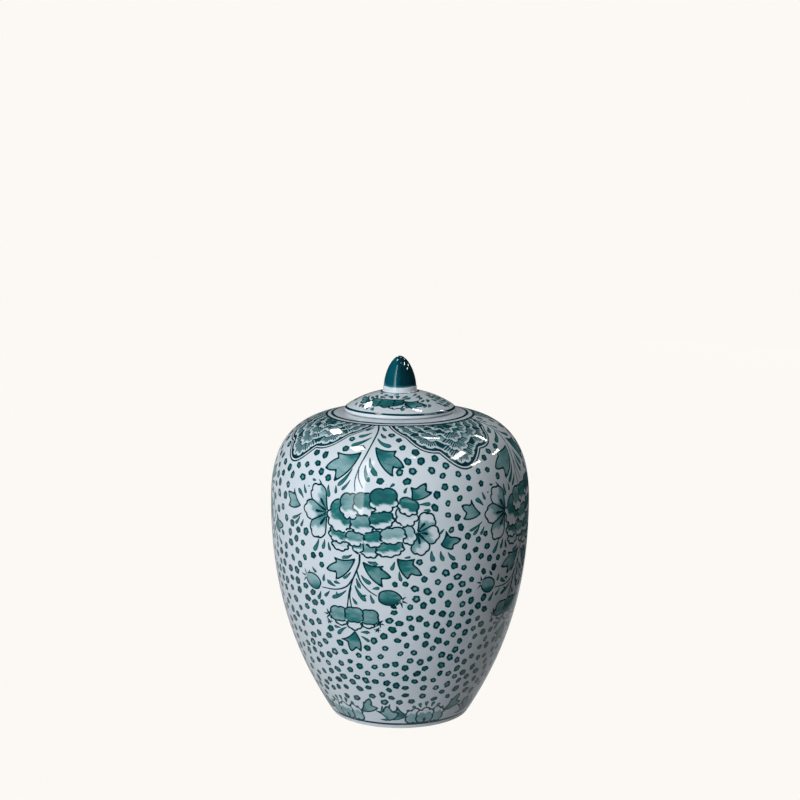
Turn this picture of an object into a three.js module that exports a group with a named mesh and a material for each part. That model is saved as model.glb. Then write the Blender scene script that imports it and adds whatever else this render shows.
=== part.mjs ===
// A lidded ginger jar: a hollow stoneware-walled porcelain jar, a domed lid whose inner
// flange drops into the mouth, and an acorn knob luted on the lid.
// Millimetres, +Z up, origin at the centre of the foot on the surface it stands on.

import * as THREE from "three";

// ---- Driving dimensions -------------------------------------------------------------

// jar, outside
const bellyRadius = 120; // widest ring
const bellyHeight = 197.5; // height of the widest ring
const shoulderRise = 87.3; // from the widest ring to where the shoulder would close
const shoulderSquareness = 4; // superellipse power along the radius
const shoulderFullness = 2.58; // superellipse power along the height
const bellyHandle = 92.8; // how long the wall stays upright below the widest ring
const footHandle = 48.7; // how long the wall keeps its slope above the foot
const footSlope = 0.54; // radians from upright where the wall leaves the foot
const footRadius = 65; // standing edge
const footFlare = 2.4; // how much wider the band is at its top than the standing edge
const footBandHeight = 4.5;

// jar, inside
const wallThickness = 6;
const floorThickness = 6;
const footRingWidth = 8;
const footRecess = 5;
const edgeRound = 1.2; // softened standing and mouth edges
const mouthRadius = 41;

// lid
const rimOverlap = 10.2; // how far the rim reaches out past the mouth's edge
const brimHeight = 5; // rounded white rim, from the seat to the foot of the dome
const brimProud = 1.5; // how far the rim stands out from the foot of the dome
const domeRise = 15.2; // from the foot of the dome to where it would close
const lidThickness = 5;
const flangeDepth = 12; // below the seat
const flangeThickness = 4.2;

// knob
const knobRadius = 15;
const knobHeight = 32;
const collarHeight = 4.7;
const collarProud = 0.5; // the bare collar is this much wider than the glazed acorn
const acornTaper = 1.6; // powers of the acorn's outline
const acornBluntness = 0.56;

// fits
const seatGap = 0.3; // lid rim over the jar's seat
const seatMargin = 0.4; // the seat runs this far past the lid
const flangeClearance = 2; // flange inside the mouth, all round
const knobGap = 0.3; // knob over its pad on the lid

// facets
const turns = 64;
const knobTurns = 40;
const shoulderSteps = 15;
const bellySteps = 12;
const innerShoulderSteps = 10;
const innerBellySteps = 9;
const domeSteps = 9;
const innerDomeSteps = 5;
const acornSteps = 12;

// ---- Outlines -----------------------------------------------------------------------

const point = (radius, height) => new THREE.Vector2(radius, height);

// Height of the shoulder over a radius, for an outer or an inner shoulder.
function shoulderHeight(radius, widest, rise) {
  const share = Math.pow(radius / widest, shoulderSquareness);
  return bellyHeight + rise * Math.pow(1 - share, 1 / shoulderFullness);
}

// Points of a shoulder from just above its widest ring in to a given radius.
function shoulderPoints(widest, rise, innerRadius, steps) {
  const lastShare = Math.pow(innerRadius / widest, shoulderSquareness / 2);
  const lastAngle = Math.acos(lastShare);
  const points = [];
  for (let step = 1; step <= steps; step += 1) {
    const angle = (lastAngle * step) / steps;
    const radius = widest * Math.pow(Math.cos(angle), 2 / shoulderSquareness);
    points.push(point(radius, shoulderHeight(radius, widest, rise)));
  }
  return points;
}

// Points of the tapering lower wall, from its foot up to its widest ring.
function bellyPoints(bottomRadius, bottomHeight, widest, steps) {
  const out = footHandle * Math.sin(footSlope);
  const up = footHandle * Math.cos(footSlope);
  const curve = new THREE.CubicBezierCurve(
    point(bottomRadius, bottomHeight),
    point(bottomRadius + out, bottomHeight + up),
    point(widest, bellyHeight - bellyHandle),
    point(widest, bellyHeight),
  );
  return curve.getPoints(steps);
}

// Rounded edge between two directions, a quarter turn about a centre.
function edgePoints(centre, radius, startAngle, endAngle, steps) {
  const points = [];
  for (let step = 0; step <= steps; step += 1) {
    const angle = startAngle + ((endAngle - startAngle) * step) / steps;
    points.push(point(centre.x + radius * Math.cos(angle), centre.y + radius * Math.sin(angle)));
  }
  return points;
}

// ---- Shared places ------------------------------------------------------------------

const lidRadius = mouthRadius + rimOverlap;
const seatRadius = lidRadius + seatMargin;
const seatHeight = shoulderHeight(seatRadius, bellyRadius, shoulderRise);
const innerRadius = bellyRadius - wallThickness;
const innerRise = shoulderRise - wallThickness;
const throatHeight = shoulderHeight(mouthRadius, innerRadius, innerRise);

const lidBase = seatHeight + seatGap;
const domeFootRadius = lidRadius - brimProud;
const domeFoot = lidBase + brimHeight;
const domeSphere = (domeFootRadius ** 2 + domeRise ** 2) / (2 * domeRise);
const domeCentre = domeFoot + domeRise - domeSphere;
const collarRadius = knobRadius + collarProud;
const padHeight = domeCentre + Math.sqrt(domeSphere ** 2 - collarRadius ** 2);
const knobBase = padHeight + knobGap;

// ---- Solids -------------------------------------------------------------------------

function revolve(outline, segments) {
  const geometry = new THREE.LatheGeometry(outline, segments);
  geometry.rotateX(Math.PI / 2);
  return geometry;
}

function jarOutline() {
  const recessRadius = footRadius - footRingWidth;
  const floorTop = footRecess + floorThickness;
  const floorEdge = floorTop + edgeRound;
  const footTop = footRadius + footFlare;
  const outerBelly = bellyPoints(footTop, footBandHeight, bellyRadius, bellySteps);
  const outerShoulder = shoulderPoints(bellyRadius, shoulderRise, seatRadius, shoulderSteps);
  const spread = (floorEdge - footBandHeight) * Math.tan(footSlope);
  const innerFoot = footTop + spread - wallThickness / Math.cos(footSlope);
  const innerBelly = bellyPoints(innerFoot, floorEdge, innerRadius, innerBellySteps);
  const innerShoulder = shoulderPoints(innerRadius, innerRise, mouthRadius, innerShoulderSteps);
  const mouthEdge = point(mouthRadius + edgeRound, seatHeight - edgeRound);
  return [
    point(0, footRecess),
    point(recessRadius - edgeRound, footRecess),
    point(recessRadius, footRecess - edgeRound),
    point(recessRadius, edgeRound),
    point(recessRadius + edgeRound, 0),
    point(footRadius - edgeRound, 0),
    point(footRadius, edgeRound),
    ...outerBelly,
    ...outerShoulder,
    ...edgePoints(mouthEdge, edgeRound, Math.PI / 2, Math.PI, 3),
    ...innerShoulder.reverse(),
    ...innerBelly.reverse(),
    point(innerFoot - 3 * edgeRound, floorTop),
    point(0, floorTop),
  ];
}

function lidOutline() {
  const flangeOuter = mouthRadius - flangeClearance;
  const flangeInner = flangeOuter - flangeThickness;
  const flangeFoot = seatHeight - flangeDepth;
  const hollow = domeSphere - lidThickness;
  const hollowAngle = Math.asin(flangeInner / hollow);
  const domeAngle = Math.asin(domeFootRadius / domeSphere);
  const padAngle = Math.asin(collarRadius / domeSphere);
  const centre = point(0, domeCentre);
  const rimRound = brimHeight / 2;
  const rimCentre = point(lidRadius - rimRound, lidBase + rimRound);
  const upright = Math.PI / 2;
  return [
    ...edgePoints(centre, hollow, upright, upright - hollowAngle, innerDomeSteps),
    point(flangeInner, flangeFoot + edgeRound),
    point(flangeInner + edgeRound, flangeFoot),
    point(flangeOuter - edgeRound, flangeFoot),
    point(flangeOuter, flangeFoot + edgeRound),
    point(flangeOuter, lidBase),
    ...edgePoints(rimCentre, rimRound, -upright, upright / 2, 6),
    ...edgePoints(centre, domeSphere, upright - domeAngle, upright - padAngle, domeSteps),
    point(0, padHeight),
  ];
}

function knobOutline() {
  const bevel = collarProud;
  const acornBase = knobBase + collarHeight;
  const acornHeight = knobHeight - collarHeight;
  const acorn = [];
  for (let step = 0; step <= acornSteps; step += 1) {
    const share = Math.sin((Math.PI / 2) * (step / acornSteps));
    const radius = knobRadius * Math.pow(1 - Math.pow(share, acornTaper), acornBluntness);
    acorn.push(point(radius, acornBase + acornHeight * share));
  }
  return [
    point(0, knobBase),
    point(collarRadius - bevel, knobBase),
    point(collarRadius, knobBase + bevel),
    point(collarRadius, acornBase - bevel),
    ...acorn,
  ];
}

// ---- Materials ----------------------------------------------------------------------

function glaze(name, color, roughness) {
  const material = new THREE.MeshStandardMaterial({ color, roughness, metalness: 0 });
  material.name = name;
  return material;
}

const porcelainGlaze = glaze("porcelain_glaze", 0xcfdbe2, 0.12);
const tealGlaze = glaze("teal_glaze", 0x06485a, 0.1);

// ---- Assembly -----------------------------------------------------------------------

function piece(name, outline, segments, material) {
  const mesh = new THREE.Mesh(revolve(outline, segments), material);
  mesh.name = name;
  return mesh;
}

const lidGroup = new THREE.Group();
lidGroup.add(piece("lid", lidOutline(), turns, porcelainGlaze));
lidGroup.add(piece("lid_knob", knobOutline(), knobTurns, tealGlaze));

const gingerJar = new THREE.Group();
gingerJar.add(piece("jar_body", jarOutline(), turns, porcelainGlaze));
gingerJar.add(lidGroup);

export default gingerJar;
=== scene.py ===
"""Ginger jar: painted porcelain body, domed lid and acorn knob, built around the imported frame.

Every length is in metres unless a name says mm. The painting is laid out in millimetres on
the unrolled wall: x runs round the jar and y runs down it from the seat.
"""

import math
import random
from functools import reduce

import bpy
import numpy as np
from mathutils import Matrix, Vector


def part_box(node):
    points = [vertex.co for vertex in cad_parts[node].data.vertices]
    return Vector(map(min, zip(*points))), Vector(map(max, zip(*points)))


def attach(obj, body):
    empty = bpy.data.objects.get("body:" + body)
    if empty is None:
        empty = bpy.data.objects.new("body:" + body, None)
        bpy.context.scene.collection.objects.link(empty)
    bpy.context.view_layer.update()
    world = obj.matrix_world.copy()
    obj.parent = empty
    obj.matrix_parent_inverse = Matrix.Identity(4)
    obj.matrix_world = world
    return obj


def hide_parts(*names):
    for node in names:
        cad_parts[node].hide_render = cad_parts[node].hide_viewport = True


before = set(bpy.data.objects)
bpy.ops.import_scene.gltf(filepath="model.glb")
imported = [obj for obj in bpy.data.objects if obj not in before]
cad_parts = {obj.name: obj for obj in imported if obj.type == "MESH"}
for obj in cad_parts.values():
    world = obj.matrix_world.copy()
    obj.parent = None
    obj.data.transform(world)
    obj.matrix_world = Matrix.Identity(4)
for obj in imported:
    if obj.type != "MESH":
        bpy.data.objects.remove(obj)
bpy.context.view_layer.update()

bl_info = {
    "name": "Ginger Jar",
    "version": (1, 0, 0),
    "blender": (4, 5, 0),
    "location": "3D View > Sidebar > Ginger Jar",
    "description": "Builds a painted porcelain ginger jar with a lift-off lid",
    "category": "Object",
}

MM = 0.001
TAU = 2 * math.pi


def corner(node, high):
    """Lowest or highest corner of a frame node."""
    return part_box(node)[1 if high else 0]


# ---------------------------------------------------------------- sizes and colours


class JarSizes(bpy.types.PropertyGroup):
    """Sizes of the thrown pieces; the outline's powers and handles are those of the frame."""

    belly_radius: bpy.props.FloatProperty(
        name="Belly radius", description="Widest ring of the jar",
        default=corner("jar_body", True).x, unit="LENGTH")
    seat_height: bpy.props.FloatProperty(
        name="Seat height", description="Height of the flat seat under the lid",
        default=corner("jar_body", True).z, unit="LENGTH")
    belly_height: bpy.props.FloatProperty(
        name="Belly height", description="Height of the widest ring",
        default=0.1975, unit="LENGTH")
    shoulder_rise: bpy.props.FloatProperty(
        name="Shoulder rise", description="From the widest ring to where the shoulder would close",
        default=0.0873, unit="LENGTH")
    foot_radius: bpy.props.FloatProperty(
        name="Foot radius", description="Standing edge of the foot ring",
        default=0.065, unit="LENGTH")
    mouth_radius: bpy.props.FloatProperty(
        name="Mouth radius", description="Open mouth of the jar",
        default=0.041, unit="LENGTH")
    wall: bpy.props.FloatProperty(
        name="Wall", description="Thickness of the jar's wall and floor",
        default=0.006, unit="LENGTH")
    lid_radius: bpy.props.FloatProperty(
        name="Lid radius", description="Outer edge of the lid's rim",
        default=corner("lid", True).x, unit="LENGTH")
    lid_base: bpy.props.FloatProperty(
        name="Lid base", description="Height of the underside of the lid's rim",
        default=corner("jar_body", True).z + 0.0003, unit="LENGTH")
    flange_depth: bpy.props.FloatProperty(
        name="Flange depth", description="How far the lid's flange drops below its rim",
        default=corner("jar_body", True).z + 0.0003 - corner("lid", False).z, unit="LENGTH")
    turns: bpy.props.IntProperty(
        name="Turns", description="Facets round the painted wall", default=352, min=64)
    row: bpy.props.FloatProperty(
        name="Row", description="Height of one row of facets on the painted wall",
        default=0.0016, unit="LENGTH")
    unevenness: bpy.props.FloatProperty(
        name="Unevenness", description="How far a thrown wall strays from true, as a share",
        default=0.0035)


class JarColours(bpy.types.PropertyGroup):
    """Glazes and paint."""

    porcelain: bpy.props.FloatVectorProperty(
        name="Porcelain", description="Glazed white body", subtype="COLOR", size=3,
        default=(0.66, 0.72, 0.78))
    sage: bpy.props.FloatVectorProperty(
        name="Sage wash", description="Thinnest paint", subtype="COLOR", size=3,
        default=(0.33, 0.50, 0.54))
    green: bpy.props.FloatVectorProperty(
        name="Green wash", description="Paint at half strength", subtype="COLOR", size=3,
        default=(0.024, 0.175, 0.180))
    teal: bpy.props.FloatVectorProperty(
        name="Teal line", description="Paint at full strength", subtype="COLOR", size=3,
        default=(0.0004, 0.026, 0.043))
    biscuit: bpy.props.FloatVectorProperty(
        name="Biscuit", description="Bare fired clay", subtype="COLOR", size=3,
        default=(0.60, 0.56, 0.50))
    knob: bpy.props.FloatVectorProperty(
        name="Knob glaze", description="Solid teal glaze", subtype="COLOR", size=3,
        default=(0.001, 0.075, 0.11))


def sizes():
    return bpy.context.scene.jar_sizes


def colours():
    return bpy.context.scene.jar_colours


# ---------------------------------------------------------------- outlines

SQUARENESS = 4.0
FULLNESS = 2.58
BELLY_HANDLE = 0.0928
FOOT_HANDLE = 0.0487
FOOT_SLOPE = 0.54
FOOT_FLARE = 0.0024
FOOT_BAND = 0.0045
FOOT_RING = 0.008
FOOT_RECESS = 0.005
EDGE = 0.0012
FLOOR_ROUND = 4 * EDGE
FLOOR_SKIP = 6                  # points of the inner wall that the floor's rounding replaces
SEAT_MARGIN = 0.0004
HOLLOW_STEP = 0.014
HOLLOW_SHOULDER_STEP = 0.009


def resample(points, step):
    """The same line through evenly spaced points about a step apart, ends kept."""
    points = np.array(points, float)
    run = np.r_[0, np.cumsum(np.hypot(*np.diff(points, axis=0).T))]
    count = max(2, int(round(run[-1] / step)) + 1)
    places = np.linspace(0, run[-1], count)
    return np.c_[np.interp(places, run, points[:, 0]), np.interp(places, run, points[:, 1])]


def length_of(line):
    return float(np.hypot(*np.diff(np.array(line), axis=0).T).sum())


def join(*sections):
    """One line from several, with the shared end points once."""
    line = [np.array(sections[0], float)]
    for section in sections[1:]:
        section = np.array(section, float)
        same = np.allclose(section[0], line[-1][-1], atol=1e-7)
        line.append(section[1:] if same else section)
    return np.vstack(line)


def arc(centre, radius, start, end, count=7):
    angles = np.radians(np.linspace(start, end, count))
    return np.c_[centre[0] + radius * np.cos(angles), centre[1] + radius * np.sin(angles)]


def bezier(a, b, c, d, count=80):
    t = np.linspace(0, 1, count)[:, None]
    a, b, c, d = map(np.array, (a, b, c, d))
    return (1 - t) ** 3 * a + 3 * (1 - t) ** 2 * t * b + 3 * (1 - t) * t ** 2 * c + t ** 3 * d


def shoulder(widest, rise, inner_radius, count=120):
    """Superellipse from the widest ring in to a radius."""
    base = sizes().belly_height
    angle = np.linspace(0, math.acos((inner_radius / widest) ** (SQUARENESS / 2)), count)
    radius = widest * np.cos(angle) ** (2 / SQUARENESS)
    height = base + rise * (1 - (radius / widest) ** SQUARENESS) ** (1 / FULLNESS)
    return np.c_[radius, height]


def belly(bottom_radius, bottom_height, widest):
    """Tapering wall from its foot up to the widest ring."""
    top = sizes().belly_height
    out = FOOT_HANDLE * math.sin(FOOT_SLOPE)
    up = FOOT_HANDLE * math.cos(FOOT_SLOPE)
    return bezier((bottom_radius, bottom_height), (bottom_radius + out, bottom_height + up),
                  (widest, top - BELLY_HANDLE), (widest, top))


def jar_outlines():
    """Outer wall from seat to foot, and the rest of the closed outline from foot to seat."""
    s = sizes()
    seat = (s.lid_radius + SEAT_MARGIN, s.seat_height)
    foot_top = s.foot_radius + FOOT_FLARE
    outer = join(shoulder(s.belly_radius, s.shoulder_rise, seat[0])[::-1],
                 belly(foot_top, FOOT_BAND, s.belly_radius)[::-1])
    outer[0] = seat
    recess = s.foot_radius - FOOT_RING
    floor_top = FOOT_RECESS + s.wall
    floor_edge = floor_top + EDGE
    spread = (floor_edge - FOOT_BAND) * math.tan(FOOT_SLOPE)
    inner_foot = foot_top + spread - s.wall / math.cos(FOOT_SLOPE)
    foot = join([(foot_top, FOOT_BAND), (s.foot_radius, EDGE)],
                arc((s.foot_radius - EDGE, EDGE), EDGE, 0, -90),
                arc((recess + EDGE, EDGE), EDGE, -90, -180),
                [(recess, EDGE), (recess, FOOT_RECESS - EDGE)],
                arc((recess - EDGE, FOOT_RECESS - EDGE), EDGE, 0, 90),
                [(recess - EDGE, FOOT_RECESS), (recess * 0.5, FOOT_RECESS), (0, FOOT_RECESS)])
    inner_wide = s.belly_radius - s.wall
    hollow = join([(0, floor_top), (inner_foot * 0.5, floor_top)],
                  arc((inner_foot - FLOOR_ROUND, floor_top + FLOOR_ROUND), FLOOR_ROUND, -90, -25),
                  resample(belly(inner_foot, floor_edge, inner_wide)[FLOOR_SKIP:], HOLLOW_STEP),
                  resample(shoulder(inner_wide, s.shoulder_rise - s.wall, s.mouth_radius),
                           HOLLOW_SHOULDER_STEP),
                  arc((s.mouth_radius + EDGE, s.seat_height - EDGE), EDGE, 180, 90),
                  [(s.mouth_radius + EDGE, s.seat_height),
                   ((s.mouth_radius + seat[0]) / 2, s.seat_height), seat])
    return outer, foot, hollow


# ---------------------------------------------------------------- geometry nodes


class Nodes:
    """Adds nodes to a tree: type, settings, then the values or links of the sockets."""

    def __init__(self, tree):
        self.tree = tree

    def add(self, kind, settings=(), **sockets):
        node = self.tree.nodes.new(kind)
        for name, value in dict(settings).items():
            if name == "stops":
                self.stops(node.color_ramp, value)
            else:
                setattr(node, name, value)
        for name, value in sockets.items():
            self.put(node.inputs, name, value)
        return node

    def get(self, kind, settings=(), **sockets):
        """Adds a node and gives its first output, ready for a sum."""
        return Value(self, self.add(kind, settings, **sockets).outputs[0])

    def put(self, inputs, name, value):
        """Fills one socket, found by its name or, as _0, by its number."""
        socket = inputs[int(name[1:])] if name[0] == "_" else self.find(inputs, name)
        value = getattr(value, "socket", value)
        if isinstance(value, bpy.types.NodeSocket):
            self.tree.links.new(value, socket)
        elif value is not None:
            socket.default_value = value

    @staticmethod
    def find(inputs, name):
        wanted = name.replace("_", " ").lower()
        for socket in inputs:
            if socket.name.lower() == wanted and socket.enabled:
                return socket
        raise KeyError(f"no socket named {wanted}")

    @staticmethod
    def stops(ramp, stops):
        ramp.interpolation = "EASE" if len(stops) < 3 else "LINEAR"
        while len(ramp.elements) < len(stops):
            ramp.elements.new(0.5)
        for element, (place, colour) in zip(ramp.elements, stops):
            element.position = place
            element.color = (*colour, 1)


def blank_nodes(owner):
    """The emptied node tree of a material, a world or a light."""
    owner.use_nodes = True
    owner.node_tree.nodes.clear()
    return Nodes(owner.node_tree)


def sign(operation, swapped=False):
    """A sign of Value: adds one Math node, its terms swapped for a reflected form."""
    def method(self, *others):
        terms = (self, *others)[::-1 if swapped else 1]
        fields = {f"_{k}": term for k, term in enumerate(terms)}
        return self.nodes.get("ShaderNodeMath", {"operation": operation}, **fields)
    return method


class Value:
    """A node's output that can stand in a sum: each sign adds its Math node."""

    def __init__(self, nodes, socket):
        self.nodes = nodes
        self.socket = socket

    __add__ = __radd__ = sign("ADD")
    __sub__ = sign("SUBTRACT")
    __rsub__ = sign("SUBTRACT", swapped=True)
    __mul__ = __rmul__ = sign("MULTIPLY")
    __truediv__ = sign("DIVIDE")
    __rtruediv__ = sign("DIVIDE", swapped=True)
    __pow__ = sign("POWER")
    __rpow__ = sign("POWER", swapped=True)
    __gt__ = sign("GREATER_THAN")
    __lt__ = sign("LESS_THAN")
    __abs__ = sign("ABSOLUTE")
    most = sign("MAXIMUM")
    sine = sign("SINE")
    fraction = sign("FRACT")
    bearing = sign("ARCTAN2")

    def clamped(self):
        return self.nodes.get("ShaderNodeClamp", _0=self)

    def between(self, low, high):
        """0 at low, 1 at high, clamped."""
        return ((self - low) * (1.0 / (high - low))).clamped()

    def toward(self, other, share):
        return self + (other - self) * share


# Rounding strews the points on the axis a few micrometres apart; the knob's closest ring of
# points is a little wider spaced than this.
WELD = 4e-6
SWELL_SCALE = 9.0


def revolve_tree():
    """Turns an outline about Z; its inputs are the turns, the wall's unevenness and the glaze."""
    name = "revolve_outline"
    if name in bpy.data.node_groups:
        return bpy.data.node_groups[name]
    tree = bpy.data.node_groups.new(name, "GeometryNodeTree")
    for label, kind in (("Outline", "Geometry"), ("Turns", "Int"), ("Unevenness", "Float"),
                        ("Swell Scale", "Float"), ("Glaze", "Material")):
        tree.interface.new_socket(label, in_out="INPUT", socket_type="NodeSocket" + kind)
    tree.interface.new_socket("Solid", in_out="OUTPUT", socket_type="NodeSocketGeometry")
    n = Nodes(tree)
    given = n.add("NodeGroupInput").outputs
    line = n.get("GeometryNodeMeshToCurve", _0=given["Outline"])
    place = n.add("GeometryNodeSplineParameter")
    marked = n.get("GeometryNodeStoreNamedAttribute", {"data_type": "FLOAT", "domain": "POINT"},
                   Geometry=line, Name="along", Value=place.outputs["Length"])
    wheel = n.get("GeometryNodeCurvePrimitiveCircle", Resolution=given["Turns"], Radius=1.0)
    turned = n.get("GeometryNodeCurveToMesh", Curve=wheel, Profile_Curve=marked)
    welded = n.get("GeometryNodeMergeByDistance", Geometry=turned, Distance=WELD)
    swell = n.get("ShaderNodeTexNoise", {"noise_dimensions": "3D"},
                  Scale=given["Swell Scale"], Detail=1.0)
    amount = (swell - 0.5) * given["Unevenness"]
    where = n.get("GeometryNodeInputPosition")
    level = n.get("ShaderNodeVectorMath", {"operation": "MULTIPLY"}, _0=where,
                  _1=(1.0, 1.0, 0.0))
    shift = n.get("ShaderNodeVectorMath", {"operation": "SCALE"}, _0=level, Scale=amount)
    moved = n.get("GeometryNodeSetPosition", Geometry=welded, Offset=shift)
    smooth = n.get("GeometryNodeSetShadeSmooth", _0=moved)
    real = n.get("GeometryNodeRealizeInstances", Geometry=smooth)
    glazed = n.get("GeometryNodeSetMaterial", Geometry=real, Material=given["Glaze"])
    n.add("NodeGroupOutput", _0=glazed)
    return tree


def revolve(name, outline, turns, glaze, unevenness=0.0):
    """A piece turned from an outline of radius and height, as a plain closed mesh."""
    line = bpy.data.meshes.new(name + "_outline")
    edges = [(i, i + 1) for i in range(len(outline) - 1)]
    line.from_pydata([(r - 1.0, -z, 0.0) for r, z in outline], edges, [])
    maker = bpy.data.objects.new(name + "_outline", line)
    bpy.context.scene.collection.objects.link(maker)
    modifier = maker.modifiers.new("revolve", "NODES")
    modifier.node_group = revolve_tree()
    given = {"Turns": turns, "Unevenness": unevenness, "Swell Scale": SWELL_SCALE, "Glaze": glaze}
    for item in modifier.node_group.interface.items_tree:
        if item.name in given:
            modifier[item.identifier] = given[item.name]
    graph = bpy.context.evaluated_depsgraph_get()
    mesh = bpy.data.meshes.new_from_object(maker.evaluated_get(graph))
    mesh.name = name
    bpy.data.objects.remove(maker)
    piece = bpy.data.objects.new(name, mesh)
    bpy.context.scene.collection.objects.link(piece)
    return piece


# ---------------------------------------------------------------- brush

FAR = 9.0                       # further from a stroke than any paint
STROKE_MARGIN = 4.0
RING_MARGIN = 3
WASH_MARGIN = 3.5
DOT_BAND = 4.0
DOT_TRY = 2.5
DOT_REACH = 7
DOT_MARGIN = 3.0
DOT_ROOM = 0.5
NO_STROKE = (FAR, -FAR, 0.0)
UNPAINTED = {"wash": (-FAR, 0, 0), "stroke_a": NO_STROKE, "stroke_b": NO_STROKE}


def column(items, name, width=1, kind=float):
    """One property of every item in a mesh, as an array."""
    values = np.zeros(len(items) * width, kind)
    items.foreach_get(name, values)
    return values.reshape(-1, width) if width > 1 else values


def turn_between(angles, middle):
    """Angles measured from a middle one, within half a turn either way."""
    return (angles - middle + math.pi) % TAU - math.pi


def nearest(x, y, points):
    """Signed distance across a line, share of its length, and how far past its ends (mm)."""
    start = points[:-1]
    run = np.diff(points, axis=0)
    length = np.maximum(np.hypot(run[:, 0], run[:, 1]), 1e-9)
    along = np.r_[0, np.cumsum(length)]
    dx = x[..., None] - start[:, 0]
    dy = y[..., None] - start[:, 1]
    raw = (dx * run[:, 0] + dy * run[:, 1]) / length ** 2
    t = np.clip(raw, 0, 1)
    gap = np.hypot(dx - t * run[:, 0], dy - t * run[:, 1])
    best = gap.argmin(-1)[..., None]

    def pick(values):
        return np.take_along_axis(values, best, -1)[..., 0]

    cross = pick((run[:, 0] * dy - run[:, 1] * dx) / length)
    gap, raw, t = pick(gap), pick(raw), pick(t)
    size = length[best[..., 0]]
    last = len(run) - 1
    past = np.where((best[..., 0] == 0) & (raw < 0), -raw * size, 0.0)
    past = np.where((best[..., 0] == last) & (raw > 1), (raw - 1) * size, past)
    across = np.where(past > 0, cross, np.copysign(gap, cross))
    return across, (along[best[..., 0]] + t * size) / along[-1], past


def inside(x, y, points):
    """Whether each place lies inside a closed outline."""
    x0, y0 = points[:, 0], points[:, 1]
    x1, y1 = np.roll(x0, -1), np.roll(y0, -1)
    above = (y0 > y[..., None]) != (y1 > y[..., None])
    slope = (x1 - x0) / np.where(y1 == y0, 1e-9, y1 - y0)
    hit = above & (x[..., None] < slope * (y[..., None] - y0) + x0)
    return hit.sum(-1) % 2 == 1


def depth(x, y, points):
    """Distance inside a closed outline, negative outside it (mm)."""
    loop = np.vstack([points, points[:1]])
    across, _, past = nearest(x, y, loop)
    gap = np.hypot(across, past)
    return np.where(inside(x, y, points), gap, -gap)


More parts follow.
